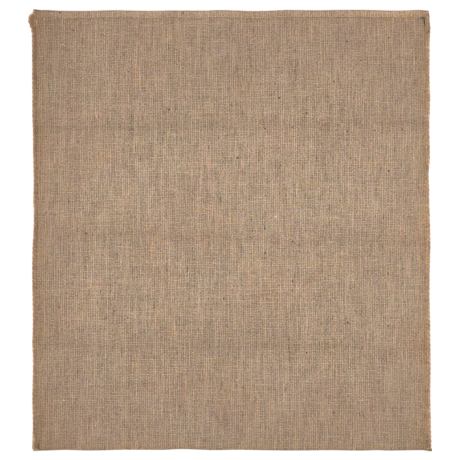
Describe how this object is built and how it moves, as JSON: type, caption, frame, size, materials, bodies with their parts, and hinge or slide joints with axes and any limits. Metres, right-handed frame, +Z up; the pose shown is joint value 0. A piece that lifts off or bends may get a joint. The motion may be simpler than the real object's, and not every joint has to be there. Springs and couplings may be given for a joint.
{
  "type": "jute sack",
  "caption": "Empty jute sack lying flat: hessian folded at the bottom, overcast down both sides and hemmed round its open mouth, with soft packing creases across the front.",
  "frame": {"origin": "centre of the sack's bounding box in plan, on the ground that its back panel lies on", "axes": "+Z up, out of the front panel; +Y from the bottom fold to the mouth; +X to the right, seen from above with the mouth at the top"},
  "size_m": [0.509, 0.557, 0.0122],
  "materials": {
    "jute_hessian": "undyed plain-weave jute, dry and matt",
    "sewing_twine": "tan two-ply jute twine, twisted and matt"
  },
  "bodies": {
    "root": {"sack_cloth": "jute_hessian"}
  },
  "joints": []
}
